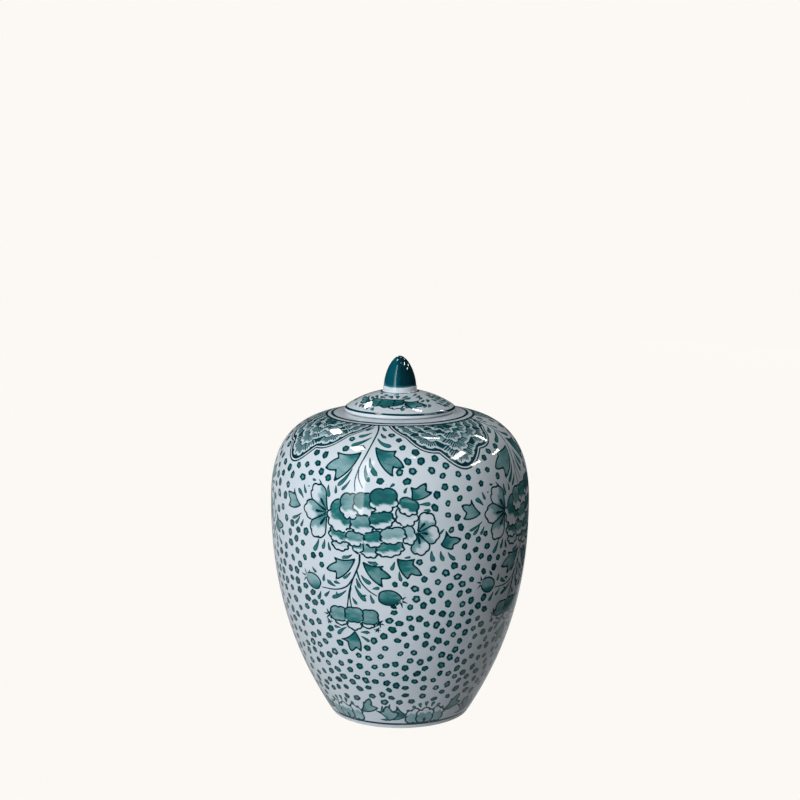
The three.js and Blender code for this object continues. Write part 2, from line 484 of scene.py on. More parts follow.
class Brush:
    """Paint on a revolved piece. Each face corner keeps how far it lies from the strokes
    that cross its face, so the glaze can draw them sharp at any size."""

    def __init__(self, mesh, start, seed=7):
        self.mesh = mesh
        self.rng = random.Random(seed)
        co = column(mesh.vertices, "co", 3)
        along = column(mesh.attributes["along"].data, "value")
        starts = column(mesh.polygons, "loop_start", kind=int)
        totals = column(mesh.polygons, "loop_total", kind=int)
        vertex = column(mesh.loops, "vertex_index", kind=int)
        self.loops = starts[totals == 4][:, None] + np.arange(4)
        corner_vertex = vertex[self.loops]
        self.radius = np.hypot(co[:, 0], co[:, 1])[corner_vertex] / MM
        self.along = (along[corner_vertex] - start) / MM
        self.around = np.arctan2(co[:, 0], -co[:, 1])[corner_vertex]
        seam = np.ptp(self.around, axis=1) > math.pi
        self.around[seam] = self.around[seam] % TAU
        count = len(self.loops)
        self.edge = np.full((count, 4), -FAR)
        self.tone_in = np.zeros((count, 4))
        self.tone_out = np.zeros((count, 4))
        self.ink = [np.tile(NO_STROKE, (count, 4, 1)) for _ in range(2)]
        self.weight = [np.full(count, -FAR) for _ in range(2)]
        self.dots = np.zeros((count, 4, 3))
        self.hatch = np.zeros((count, 4, 3))
        self.busy = np.zeros(count, bool)
        self.place(0)

    def place(self, angle, y=0.0, shake=0.0):
        """Puts the drawing's middle at an angle round the piece (degrees), y mm down it."""
        self.x = turn_between(self.around, math.radians(angle)) * self.radius
        self.y = self.along - y
        self.cx = self.x.mean(1)
        self.cy = self.y.mean(1)
        self.shake = shake

    def wander(self, points):
        """The same points, moved together by the hand's small error."""
        shift = [self.rng.uniform(-self.shake, self.shake) for _ in range(2)]
        return np.array(points, float) + shift

    def near(self, points, margin):
        low = points.min(0) - margin
        high = points.max(0) + margin
        hit = (self.cx > low[0]) & (self.cx < high[0]) & (self.cy > low[1]) & (self.cy < high[1])
        return np.flatnonzero(hit)

    def keep(self, faces, across, half, core):
        """Keeps a stroke where it shows, in place of the fainter of the face's two."""
        crosses = (across.min(1) < 0) & (across.max(1) > 0) & (half.max(1) > 0)
        reach = (half - np.abs(across)).max(1)
        weight = np.where(crosses, 1 + half.max(1), reach)
        shows = weight > 0
        faces, across, half, weight = faces[shows], across[shows], half[shows], weight[shows]
        second = self.weight[1][faces] < self.weight[0][faces]
        for slot, chosen in ((1, second), (0, ~second)):
            stronger = chosen & (weight > self.weight[slot][faces])
            where = faces[stronger]
            self.ink[slot][where, :, 0] = across[stronger]
            self.ink[slot][where, :, 1] = half[stronger]
            self.ink[slot][where, :, 2] = core
            self.weight[slot][where] = weight[stronger]
        self.busy[faces] = True

    def stroke(self, points, half, core):
        """A stroke along a line; half its width is a number or a function of the share."""
        points = self.wander(points)
        faces = self.near(points, STROKE_MARGIN)
        if not len(faces):
            return
        across, share, past = nearest(self.x[faces], self.y[faces], points)
        width = half(share) if callable(half) else np.full(across.shape, half)
        self.keep(faces, across, width - past, core)

    def ring(self, y, half, wobble, phase=None):
        """A band thrown all round the piece on the wheel."""
        phase = self.rng.uniform(0, TAU) if phase is None else phase
        middle = y + wobble * np.sin(self.around + phase) + 0.4 * wobble * np.sin(3 * self.around)
        across = self.along - middle
        faces = np.flatnonzero(np.abs(across).min(1) < half + RING_MARGIN)
        self.keep(faces, across[faces], np.full((len(faces), 4), half), 1.0)

    def wash(self, outline, tone, line, inset=0.0, within=None, hatch=None):
        """A filled shape that hides what is under it, with an outline if line is above 0.
        within is an outline and how far inside it the wash must stay."""
        outline = self.wander(outline)
        faces = self.near(outline, WASH_MARGIN)
        if not len(faces):
            return
        x, y = self.x[faces], self.y[faces]
        deep = depth(x, y, outline) - inset
        if within is not None:
            deep = np.minimum(deep, depth(x, y, within[0]) - within[1])
        tones = tone(x, y) if callable(tone) else np.full(x.shape, float(tone))
        full = deep.min(1) >= 0
        part = (deep.max(1) > 0) & ~full
        for slot in range(2):
            self.weight[slot][faces[full]] = -FAR
            self.ink[slot][faces[full], :, 1] = -FAR
            half = self.ink[slot][faces[part], :, 1]
            self.ink[slot][faces[part], :, 1] = np.minimum(half, -deep[part])
        self.dots[faces[full]] = 0
        self.hatch[faces[full]] = 0
        crossed = faces[part]
        was_in = (self.edge[crossed].mean(1) > 0)[:, None]
        self.tone_out[crossed] = np.where(was_in, self.tone_in[crossed], self.tone_out[crossed])
        self.tone_in[crossed] = tones[part]
        self.edge[crossed] = deep[part]
        self.tone_out[faces[full]] = tones[full]
        self.edge[faces[full]] = -FAR
        self.busy[faces[full | part]] = True
        if hatch is not None:
            inked = full | part
            lines, mask = hatch(x[inked], y[inked])
            self.hatch[faces[inked], :, 0] = lines
            self.hatch[faces[inked], :, 1] = mask * (deep[inked] > -0.4)
        if line > 0:
            self.keep(faces, deep, np.full(x.shape, line), 1.0)

    def scatter(self, first, last, apart, small, large):
        """Small blossoms over whatever is still bare, no two closer than apart (top, foot)."""
        self.place(0)
        order = np.argsort(self.cy)
        levels = self.cy[order]
        closest = np.full(len(order), FAR)
        made = np.zeros((0, 2))
        y = first
        while y < last:
            low, high = np.searchsorted(levels, (y - DOT_REACH, y + DOT_BAND + DOT_REACH))
            band = order[low:high]
            around, radius = self.around[band].mean(1), self.radius[band].mean(1)
            middle = float(radius.mean())
            space = apart[0] + (apart[1] - apart[0]) * (y - first) / (last - first)
            for _ in range(int(TAU * middle / DOT_TRY)):
                angle = self.rng.uniform(-math.pi, math.pi)
                level = y + self.rng.uniform(0, DOT_BAND)
                size, lean = self.rng.uniform(small, large), self.rng.uniform(0, TAU)
                stretch = self.rng.uniform(0.86, 1.16)
                if len(made):
                    turn = turn_between(made[:, 0], angle)
                    if (np.hypot(turn * middle, made[:, 1] - level) < space).any():
                        continue
                turn = turn_between(around, angle)
                gap = np.hypot(turn * radius, self.cy[band] - level)
                if self.busy[band[gap < size + DOT_ROOM]].any():
                    continue
                made = np.vstack([made, (angle, level)])
                mine = (gap < size + DOT_MARGIN) & (gap / size < closest[band])
                faces = band[mine]
                closest[faces] = gap[mine] / size
                turn = turn_between(self.around[faces], angle)
                dx, dy = turn * self.radius[faces], self.along[faces] - level
                c, s = math.cos(lean) / size, math.sin(lean) / size
                self.dots[faces, :, 0] = (dx * c - dy * s) * stretch
                self.dots[faces, :, 1] = (dx * s + dy * c) / stretch
                self.dots[faces, :, 2] = self.rng.uniform(0.55, 1.0)
            y += DOT_BAND

    def wipe(self, last):
        """Wipes off the paint above a level (mm down the piece)."""
        gone = self.along.mean(1) < last
        self.edge[gone] = -FAR
        for layer in (self.tone_in, self.tone_out, self.hatch):
            layer[gone] = 0
        for ink, weight in zip(self.ink, self.weight):
            ink[gone] = NO_STROKE
            weight[gone] = -FAR

    def store(self):
        """Writes the paint to the mesh, on face corners."""
        layers = {
            "wash": np.stack([self.edge, self.tone_in, self.tone_out], -1),
            "stroke_a": self.ink[0],
            "stroke_b": self.ink[1],
            "dot": self.dots,
            "hatch": self.hatch,
        }
        for name, values in layers.items():
            data = np.zeros((len(self.mesh.loops), 3), np.float32)
            data[:] = UNPAINTED.get(name, 0)
            data[self.loops.reshape(-1)] = values.reshape(-1, 3)
            layer = self.mesh.attributes.new(name, "FLOAT_VECTOR", "CORNER")
            layer.data.foreach_set("vector", data.reshape(-1))


# ---------------------------------------------------------------- hand shapes (mm)


def ramp(value, low, high):
    """0 below low, 1 above high, smooth between."""
    t = np.clip((value - low) / (high - low), 0, 1)
    return t * t * (3 - 2 * t)


def bend(*points, count=14):
    """Smooth curve through a few points."""
    points = np.array(points, float)
    if len(points) == 2:
        return resample(points, np.hypot(*(points[1] - points[0])) / count)
    padded = np.vstack([2 * points[0] - points[1], points, 2 * points[-1] - points[-2]])
    t = np.linspace(0, 1, count)[:, None]
    parts = []
    for a, b, c, d in zip(padded, padded[1:], padded[2:], padded[3:]):
        run = c - a + t * (2 * a - 5 * b + 4 * c - d + t * (3 * (b - c) + d - a))
        parts.append((b + 0.5 * t * run)[:-1])
    return np.vstack(parts + [points[-1:]])


def bowed(a, b, bow, count=8):
    """Curve from a to b that bows to its left by a share of its length."""
    a, b = np.array(a, float), np.array(b, float)
    run = b - a
    middle = (a + b) / 2 + bow * np.array([run[1], -run[0]])
    t = np.linspace(0, 1, count)[:, None]
    return (1 - t) ** 2 * a + 2 * t * (1 - t) * middle + t ** 2 * b


def facing(x, y, centre, degrees):
    """How far places lie ahead of a centre and to its side, for one who faces a bearing."""
    c, s = math.cos(math.radians(degrees)), math.sin(math.radians(degrees))
    return (x - centre[0]) * c + (y - centre[1]) * s, (y - centre[1]) * c - (x - centre[0]) * s


def turned(points, degrees, centre):
    """The same points turned about the origin, then moved to a centre."""
    c, s = math.cos(math.radians(degrees)), math.sin(math.radians(degrees))
    points = np.array(points, float)
    return points @ np.array([[c, s], [-s, c]]) + centre


BLOSSOM_BITE = 0.23
FAN_BITE = 0.26


def blossom_outline(wide, tall, bumps):
    """Round petal with scallops: bumps below, two broad ones above."""
    angle = np.linspace(0, TAU, 73)[:-1]
    lower = angle < math.pi
    count = np.where(lower, bumps, 2)
    swell = 1 - BLOSSOM_BITE + BLOSSOM_BITE * np.abs(np.sin(angle * count)) ** 0.6
    return np.c_[wide * np.cos(angle) * swell, tall * np.sin(angle) * swell]


def fan_outline(length, wide, bumps):
    """Petal that opens from a point at the origin towards +x, with a scalloped end."""
    neck = 0.62 * length
    u = np.linspace(0, 1, 9)
    flank = np.c_[neck * u, wide * np.sin(u * math.pi / 2) ** 0.9 * (0.25 + 0.75 * u)]
    angle = np.linspace(math.pi / 2, -math.pi / 2, 8 * bumps + 1)[1:-1]
    bump = np.abs(np.cos(angle * bumps + (bumps % 2 - 1) * math.pi / 2)) ** 0.6
    swell = 1 - FAN_BITE + FAN_BITE * bump
    end = np.c_[neck + (length - neck) * np.cos(angle) * swell, wide * np.sin(angle)]
    return np.vstack([flank, end, flank[::-1] * (1, -1)])[:-1]


def leaf_outline(base, first, middle, last):
    """Tulip leaf: a stem end, then three pointed tips; hollow towards the first tip."""
    base, first, middle, last = (np.array(p, float) for p in (base, first, middle, last))
    side = np.sign(np.cross(middle - base, first - base))
    notch_a = (first + middle) / 2 * 0.74 + base * 0.26
    notch_b = (last + middle) / 2 * 0.78 + base * 0.22
    return np.vstack([bowed(base, first, 0.20 * side)[:-1],
                      bowed(first, notch_a, 0.16 * side, 5)[:-1],
                      bowed(notch_a, middle, -0.16 * side, 6)[:-1],
                      bowed(middle, notch_b, -0.22 * side, 6)[:-1],
                      bowed(notch_b, last, 0.10 * side, 5)[:-1],
                      bowed(last, base, -0.22 * side)[:-1]])


COMMA_FAT = 1.34
COMMA_CORE = 0.62
LINE = 0.74


def teardrop(half):
    """Half width of a comma: a hair at its tail, full near its head."""
    return lambda share: half * (0.2 + 1.1 * share ** 1.1) * np.sqrt(np.clip(1 - share ** 6, 0, 1))


def thinning(half, end):
    """Half width of a stem that thins towards its end."""
    return lambda share: half * (1 - (1 - end) * share)


def comma(brush, tail, head, half, bow):
    """One comma stroke, paler in its middle than a line."""
    brush.stroke(bowed(tail, head, bow), teardrop(COMMA_FAT * half), COMMA_CORE)


def leaf(brush, base, first, middle, last, deep):
    """Outlined tulip leaf, washed deepest at its stem end and its tips."""
    outline = leaf_outline(base, first, middle, last)
    far = np.hypot(*(np.array(middle, float) - base))

    def tone(x, y):
        reach = np.hypot(x - base[0], y - base[1]) / far
        return deep * (1.08 - 0.35 * ramp(reach, 0.1, 0.6) + 0.25 * ramp(reach, 0.8, 1.05))

    brush.wash(outline, tone, LINE)


def petal(brush, x, y, wide, tall, bumps, deep, turn, bare=0.34):
    """Cushion petal of a peony: dark above, bare porcelain along its scalloped hem."""
    outline = turned(blossom_outline(wide, tall, bumps), turn, (x, y))

    def tone(px, py):
        ahead, aside = facing(px, py, (x, y), turn)
        across, down = ahead / wide, aside / tall
        hem = bare - 0.10 * np.cos(across * 7.0) - 0.25 * across ** 2
        return deep * (1 + 0.18 * ramp(down, -0.9, 0.2)) * (1 - ramp(down, hem - 0.06, hem + 0.07))

    brush.wash(outline, tone, LINE)


def fan_petal(brush, root, aim, length, wide, bumps, deep):
    """Side petal: a green throat, a bare scalloped end and a dark teardrop at the root."""
    outline = turned(fan_outline(length, wide, bumps), aim, root)

    def tone(px, py):
        out, aside = facing(px, py, root, aim)
        out, aside = out / length, aside / wide
        edge = 0.60 + 0.26 * aside + 0.06 * np.cos(aside * 9.0)
        return deep * (1 - 0.25 * ramp(out, 0.2, 0.6)) * (1 - ramp(out, edge - 0.05, edge + 0.07))

    brush.wash(outline, tone, LINE)
    way = np.array([math.cos(math.radians(aim)), math.sin(math.radians(aim))])
    start = np.array(root) + 0.10 * length * way
    brush.stroke(bowed(start, start + 0.42 * length * way, 0.05), teardrop(0.14 * wide + 0.3), 1.0)


def side_flower(brush, root, aims, length, wide, deep=0.5):
    """Three side petals from one root, the last a little longer."""
    for aim, reach in zip(aims, (1.0, 1.0, 1.04)):
        fan_petal(brush, root, aim, length * reach, wide, 3, deep)


def bud(brush, x, y, wide, tall, turn, deep):
    """Pointed bud, washed darker below."""
    angle = np.linspace(0, TAU, 33)[:-1]
    point = 1 + 0.12 * np.cos(angle) ** 9
    outline = turned(np.c_[wide * np.cos(angle) * point, tall * np.sin(angle)], turn, (x, y))

    def tone(px, py):
        return deep * (0.75 + 0.6 * ramp(py - y, -0.1 * tall, 0.9 * tall))

    brush.wash(outline, tone, LINE)


def star(brush, x, y, reach, aim, spread=230, points=5, half=1.45):
    """Sepals: short tapering strokes from one point."""
    for k in range(points):
        angle = math.radians(aim + spread * (k / (points - 1) - 0.5))
        tip = (x + reach * math.cos(angle), y + reach * math.sin(angle))
        brush.stroke(bowed((x, y), tip, 0.08), thinning(half, 0.1), 0.95)


# ---------------------------------------------------------------- the painted spray (mm)

SPRAY_STEMS = [
    # points, half width at the start
    ([(-5, 16.6), (-3.2, 30), (-5, 45), (-8.5, 58), (-13, 70), (-16.2, 82), (-15.6, 92)], 0.8),
    ([(-13, 70), (-12.4, 80), (-8, 89)], 0.6),
    ([(-10.5, 146), (-11, 155), (-14.5, 164), (-18, 172), (-21.5, 184), (-24, 199)], 0.95),
    ([(-17.5, 170), (-24, 178), (-35, 182), (-50, 182)], 0.8),
    ([(-13.5, 162), (-10, 172), (-3, 180), (5, 185)], 0.8),
    ([(-19.5, 178), (-21, 187), (-19.5, 198)], 0.82),
]

SPRAY_LEAVES = [
    # stem end, hollow-side tip, middle tip, full-side tip, depth of wash
    ((-1, 50), (18, 53), (26, 69), (17, 77), 0.64),
    ((-13, 56), (-36, 58), (-46, 73.5), (-36, 84), 0.50),
    ((35, 98), (34, 87), (47, 84), (53, 92), 0.60),
    ((61, 138), (66, 126), (80, 135), (72, 143), 0.62),
    ((-74, 110), (-83, 97), (-93, 101), (-92, 113), 0.50),
    ((-15, 151), (-35, 152), (-43.5, 163.5), (-34, 172), 0.50),
    ((-8, 154), (10, 157), (16.5, 167), (9, 176), 0.62),
    ((23, 150), (38, 150), (44, 165), (32, 168.5), 0.64),
    ((-18, 221), (-32, 231), (-23, 242), (-13.5, 241), 0.60),
]

SPRAY_COMMAS = [
    # tail, head, half width, bow
    ((-8, 21), (-15, 28), 1.2, 0.1), ((-8, 31), (-19, 38), 1.6, 0.15),
    ((-7, 38.5), (-24, 50), 1.7, 0.12), ((-1, 19), (4, 27), 1.3, -0.1),
    ((0, 31), (6, 38), 1.4, -0.15), ((-1, 39), (13, 48.5), 1.8, -0.28),
    ((-4, 61), (4, 77), 1.9, -0.22), ((-7, 68), (-2.5, 83), 1.7, -0.2),
    ((-19, 72), (-32, 88), 1.5, 0.12), ((-20, 82), (-28, 91.5), 1.1, 0.1),
    ((16, 87), (20, 84), 1.3, 0.1), ((31, 87), (29, 92), 1.2, -0.2),
    ((-41, 88), (-40.5, 98.5), 1.9, -0.1), ((-34, 88), (-34, 95), 1.2, 0.1),
    ((-52, 84.5), (-48.5, 90), 0.9, 0.1), ((-55, 86), (-60, 85.5), 1.2, 0.1),
    ((-70, 91), (-67, 98.5), 1.3, -0.1), ((-70, 103.5), (-78, 96.5), 1.8, -0.15),
    ((-62, 92), (-65, 92.5), 0.9, 0.0),
    ((42, 102), (52, 102), 1.5, 0.05), ((45, 107), (52, 108), 1.3, 0.05),
    ((-51, 137), (-57.5, 148.5), 1.8, 0.15), ((-45, 137), (-47.5, 146), 1.5, 0.12),
    ((-41, 139), (-39, 147), 1.3, -0.1), ((-70, 122), (-74, 129), 1.3, 0.12),
    ((-75, 120), (-82, 128), 1.4, 0.15), ((-72, 117), (-86, 124), 1.2, 0.1),
    ((53, 143), (55, 153), 1.9, -0.15), ((61, 144), (64, 153), 1.7, -0.18),
    ((68, 146), (75, 153), 1.7, -0.2), ((64, 124), (58, 129), 1.3, 0.1),
    ((28, 149), (34, 148), 1.0, 0.05), ((-18, 147.5), (-28, 151), 1.6, 0.22),
    ((-19, 164), (-27, 170), 1.5, 0.12), ((-30, 176), (-36, 174.5), 1.4, 0.1),
    ((-34, 179), (-43, 174), 1.6, 0.16), ((-46, 169), (-47, 176), 1.4, -0.12),
    ((-4, 153), (5.5, 155), 1.9, -0.12), ((20, 152), (16.5, 160), 1.5, 0.1),
    ((24, 161), (25.5, 170.5), 1.4, -0.1), ((-9.5, 166), (-0.5, 173.5), 1.7, -0.2),
    ((-14, 169), (-10.5, 178.5), 1.5, -0.1), ((0, 178), (6.5, 177), 1.4, 0.1),
    ((-16, 176), (-6, 190), 1.8, -0.15), ((-11, 186), (-5, 184.5), 0.9, 0.1),
    ((-24, 181.5), (-39, 190), 1.6, 0.14), ((-32, 187.5), (-35, 184), 0.9, 0.1),
    ((-2, 183.5), (1, 192), 1.4, -0.1), ((-41, 184), (-47, 190), 1.3, 0.1),
    ((-51, 186), (-55, 194), 1.6, 0.15), ((-19, 187.5), (-14.5, 194), 1.3, -0.1),
    ((-26, 217.5), (-35, 226), 1.6, -0.15), ((-32, 219), (-39, 218.5), 1.2, 0.1),
    ((-12, 221.5), (-4, 221.5), 1.5, 0.1), ((-13, 225), (-5, 230.5), 1.3, 0.1),
    ((-60, 164), (-55, 169), 1.2, -0.1),
]

PEONY = [
    # middle x, y, half width, half height, hem scallops, depth of wash, turn
    (-1, 142.5, 9.5, 7.5, 4, 0.36, 0), (16, 140.5, 13.5, 8, 5, 0.46, -8),
    (-29, 139, 9, 6.5, 4, 0.14, 10), (-12, 140, 5.5, 6.5, 3, 0.46, 0),
    (-31, 131, 10, 7.5, 4, 0.44, 18), (-15, 133, 9.5, 7.5, 4, 0.38, 0),
    (2, 132.5, 9.5, 8, 4, 0.52, -6), (32.5, 128.5, 7, 9.5, 3, 0.26, -20),
    (19, 129, 12.5, 8, 5, 0.30, -8), (-28, 114, 14, 15.5, 5, 0.50, 24),
    (31, 111.5, 10.5, 10, 4, 0.08, -6), (-8, 120, 12.5, 9, 5, 0.40, -4),
    (9, 115.5, 12, 8.5, 5, 0.58, -14), (32, 103.5, 10, 8, 4, 0.56, 24),
    (-19.5, 104.5, 10.5, 12.5, 4, 0.40, 0), (-6, 102, 11.5, 11, 4, 0.48, 0),
    (10.5, 98, 13.5, 11.5, 4, 0.62, -4),
]

SIDE_FLOWERS = [
    # root, aims of its petals, length, half width
    ((-41, 112), (-126, -180, 126), 28, 9.0),
    ((40, 126), (-48, 12, 78), 20.5, 8.4),
]

HANGING_HEMS = [
    # middle x, y, half width, half height of the pale petals under the lower flower
    (-31, 212, 6.5, 4.5), (-5, 212.5, 6.5, 4.5), (-18, 213, 7.5, 7),
]

HANGING_CAPS = [
    # middle x, y, half width, half height, depth of wash of the petals over them
    (-33, 205, 9.5, 8, 0.34), (-3.5, 205.5, 9, 8, 0.38), (-18, 204.5, 10, 8.2, 0.42),
]

HANGING_STARS = [
    # x, y, reach, aim
    (-43, 207, 6.0, 185), (-43.5, 214, 3.6, 120), (5, 211, 5.0, 20), (3, 217.5, 3.4, 70),
]


SPRAY_SHAKE = 0.35


def paint_spray(brush, angle, drop):
    """One hanging spray: stems, leaves, a big peony with a flower each side, buds, commas."""
    brush.place(angle, drop, SPRAY_SHAKE)
    for points, half in SPRAY_STEMS:
        brush.stroke(bend(*points), thinning(half, 0.6), 0.95)
    for tail, head, half, bow in SPRAY_COMMAS:
        comma(brush, tail, head, half, bow)
    for *points, deep in SPRAY_LEAVES:
        leaf(brush, *points, deep=deep)
    brush.shake = 0.0
    for flower in SIDE_FLOWERS:
        side_flower(brush, *flower)
    for x, y, wide, tall, bumps, deep, turn in PEONY:
        petal(brush, x, y, wide, tall, bumps, deep, turn)
    star(brush, -67, 174, 7.5, 190)
    bud(brush, -59, 177.5, 9, 6.6, -152, 0.46)
    star(brush, 24.5, 189, 7.0, 20)
    bud(brush, 14.5, 186, 10, 7, 2, 0.60)
    brush.stroke(bend((17, 193.5), (19.5, 195)), 2.2, 0.9)
    for x, y, wide, tall in HANGING_HEMS:
        petal(brush, x, y, wide, tall, 3, 0.15, 0, -0.6)
    for x, y, wide, tall, deep in HANGING_CAPS:
        petal(brush, x, y, wide, tall, 2, deep, 0, 1.3)
    for sepals in HANGING_STARS:
        star(brush, *sepals)


# ---------------------------------------------------------------- shoulder collar (mm)

LOBE_POINTS = [(-46, 14), (-43, 38), (-21.5, 56.5), (21.5, 56.5), (43, 38), (46, 14)]
LOBE_BOWS = (-0.30, -0.45, -0.80, -0.45, -0.30)
LOBE_TIERS = (0.93, 0.74, 0.55, 0.36)
SCALLOP = 10.0
HATCH_PITCH = 2.5


def lobe_outline():
    """Cloud-collar lobe: five rounded scallops hanging from the neck ring."""
    parts = [bowed(a, b, bow, 14)[:-1]
             for a, b, bow in zip(LOBE_POINTS, LOBE_POINTS[1:], LOBE_BOWS)]
    return np.vstack(parts + [LOBE_POINTS[-1:]])


def scalloped(line, wide, bite):
    """The line broken into scallops that bulge to its right."""
    count = max(3, round(length_of(line) / wide))
    dense = resample(line, length_of(line) / (count * 7))
    slope = np.gradient(dense, axis=0)
    right = np.c_[slope[:, 1], -slope[:, 0]] / np.hypot(*slope.T)[:, None]
    share = np.linspace(0, 1, len(dense))
    swell = np.abs(np.sin(share * count * math.pi)) ** 0.6
    return dense - right * ((1 - swell) * bite)[:, None]


def paint_lobe(brush, angle):
    """Dark ground behind tiers of fans with bare scalloped hems, hatched towards the hems."""
    brush.place(angle, shake=0.0)
    outline = lobe_outline()
    top = LOBE_POINTS[0][1]
    brush.wash(outline, 0.0, LINE)
    raised = np.vstack([(outline[0][0], top - 8), outline, (outline[-1][0], top - 8)])
    brush.wash(raised, 0.84, 0.7, inset=2.7, within=(outline, 0.0))
    for reach in LOBE_TIERS:
        fan = outline * reach + (0, top * (1 - reach))
        size = length_of(fan)
        hem = scalloped(fan, SCALLOP, -2.8)
        closed = np.vstack([(hem[0][0], top - 8), hem, (hem[-1][0], top - 8)])
        lift = brush.rng.uniform(0.88, 1.12)

        def tone(x, y, hem=hem, lift=lift):
            gap = np.abs(nearest(x, y, hem)[0])
            return lift * (0.32 + 0.34 * ramp(gap, 6.0, 11.0))

        def hatch(x, y, fan=fan, hem=hem, size=size):
            gap = np.abs(nearest(x, y, hem)[0])
            lines = nearest(x, y, fan)[1] * size / HATCH_PITCH
            return lines, ramp(gap, 0.8, 3.4) * (1 - ramp(gap, 8.0, 10.5))

        brush.wash(closed, 0.02, 0.42, within=(raised, 4.2))
        brush.wash(closed, tone, 0.0, inset=2.8, within=(raised, 6.8), hatch=hatch)


# ---------------------------------------------------------------- borders and dots (mm)


FOOT_LEVEL = 319
FAN_COMMAS = 9
FAN_SPREAD = 156
FAN_INNER, FAN_OUTER = (15, 13.5), 20.5


def paint_foot_unit(brush, angle):
    """Half flower sitting on the foot line, a leaf each side, commas fanned above."""
    brush.place(angle, shake=0.4)
    for k in range(FAN_COMMAS):
        bearing = math.radians(-FAN_SPREAD / 2 + FAN_SPREAD * k / (FAN_COMMAS - 1))
        tail = (FAN_INNER[0] * math.sin(bearing), FOOT_LEVEL - FAN_INNER[1] * math.cos(bearing))
        head = (FAN_OUTER * math.sin(bearing), FOOT_LEVEL - FAN_OUTER * math.cos(bearing))
        comma(brush, tail, head, 1.5, 0.15)
    for tail, head in (((-34, 301), (-33, 310)), ((-41, 303), (-38, 313)), ((34, 322), (42, 321))):
        comma(brush, tail, head, 1.5, -0.2)
    leaf(brush, (17, 314), (25, 301), (33, 296), (37, 307), 0.55)
    leaf(brush, (-16, 316), (-28, 304), (-37, 313), (-30, 322), 0.66)
    leaf(brush, (41, 323), (34, 311), (46, 304), (54, 312), 0.48)
    brush.shake = 0.0
    for x, wide, deep in ((-10, 8.5, 0.30), (11, 8, 0.30), (0, 9, 0.34)):
        petal(brush, x, 317, wide, 10.5, 3, deep, 180, 0.35)
    brush.stroke(bend((0, 321), (0.5, 324)), 1.6, 0.9)


SPRAY_FIRST = -12
LOBE_LAG = 43.5
SPRAYS = 4
SPRAY_SHIFTS = ((0, 0), (-6.5, 4.5), (-2.0, 1.5), (2.5, -1.0))      # degrees, mm down
FOOT_FIRST = 18
FOOT_UNITS = 6
COLLAR_TOP = 15.6
NECK_LINES = ((10.8, 1.3), (16.5, 1.15))        # mm down, half width
FOOT_LINE = (327.4, 1.25)
DOTS_FROM, DOTS_TO = 18, 302
DOT_SPACING = (9.4, 8.3)                        # near the top, near the foot
DOT_SIZES = (2.7, 3.7)


def paint_jar(mesh, start):
    """Collar, neck lines, sprays, foot border, then dots over what is bare."""
    brush = Brush(mesh, start)
    for k in range(SPRAYS):
        paint_lobe(brush, SPRAY_FIRST + LOBE_LAG + 360 * k / SPRAYS)
    brush.wipe(COLLAR_TOP)
    for level, half in NECK_LINES:
        brush.ring(level, half, wobble=0.3)
    for k, (stray, drop) in enumerate(SPRAY_SHIFTS):
        paint_spray(brush, SPRAY_FIRST + 360 * k / SPRAYS + stray, drop)
    for k in range(FOOT_UNITS):
        paint_foot_unit(brush, FOOT_FIRST + 360 * k / FOOT_UNITS)
    brush.ring(*FOOT_LINE, wobble=0.2)
    brush.scatter(DOTS_FROM, DOTS_TO, DOT_SPACING, *DOT_SIZES)
    brush.store()


LID_COMMAS = (
    # tail, head, bow
    ((-5, 13), (-11, 12), -0.2), ((-3, 10), (-8, 7), -0.2), ((2, 13), (-1, 8), 0.2),
    ((7, 13), (6, 7), 0.25), ((11, 13.5), (15, 9), 0.2), ((12, 16), (19, 13.5), 0.2),
    ((-13, 14), (-17, 10), 0.2), ((-16, 17), (-22, 15), -0.2), ((1, 6), (5, 4), 0.2),
    ((-12, 6), (-14, 4), 0.1), ((20, 9), (24, 6), 0.1), ((24, 13), (29, 11), 0.1),
    ((-22, 28), (-26, 31), 0.2), ((-17, 29), (-20, 33), 0.2), ((-12, 30), (-13, 34), 0.1),
    ((19, 24), (21, 29), -0.2), ((14, 28), (18, 32), -0.2), ((37, 18), (41, 22), 0.1),
    ((40, 26), (43, 30), 0.1), ((27, 13), (31, 17), 0.1), ((36, 25), (38, 30), 0.1),
    ((-27, 27), (-30, 31), 0.2), ((-36, 27), (-38, 31), 0.1), ((31, 20), (35, 20), 0.1),
)


LID_FIRST = -18
LID_HALF = 1.75
LID_ROWS = ((12, 2), (17, 3), (22, 4), (27, 5), (32, 4))        # mm down, commas


def paint_lid(mesh, start):
    """Two flowers with leaves, fans of commas between them, a line at each edge."""
    brush = Brush(mesh, start, seed=11)
    brush.ring(1.7, 0.8, wobble=0.1)
    brush.ring(38.2, 1.1, wobble=0.5, phase=0.0)
    for k in range(2):
        brush.place(LID_FIRST + 180 * k, shake=0.3)
        for tail, head, bow in LID_COMMAS:
            comma(brush, tail, head, LID_HALF, bow)
        leaf(brush, (15, 19), (28, 19), (36, 27), (28, 32), 0.62)
        leaf(brush, (-19, 21), (-27, 14), (-36, 19), (-32, 26), 0.55)
        brush.shake = 0
        petal(brush, 10, 25, 8, 5.5, 4, 0.16, -14)
        for x, y, wide, tall, deep in ((-11, 21.5, 7.5, 6.5, 0.55), (8, 20.5, 7, 5.5, 0.62),
                                       (-1, 22, 8, 7, 0.60)):
            petal(brush, x, y, wide, tall, 3, deep, 0, 0.95)
        brush.place(LID_FIRST + 90 + 180 * k, shake=0.6)
        for y, count in LID_ROWS:
            for x in np.linspace(-2.8, 2.8, count) * (count - 1) + (1.5 if y % 2 else 0):
                comma(brush, (x - 2, y - 1.5), (x + 2, y + 2.2), LID_HALF, 0.2)
    brush.store()


# ---------------------------------------------------------------- glazes


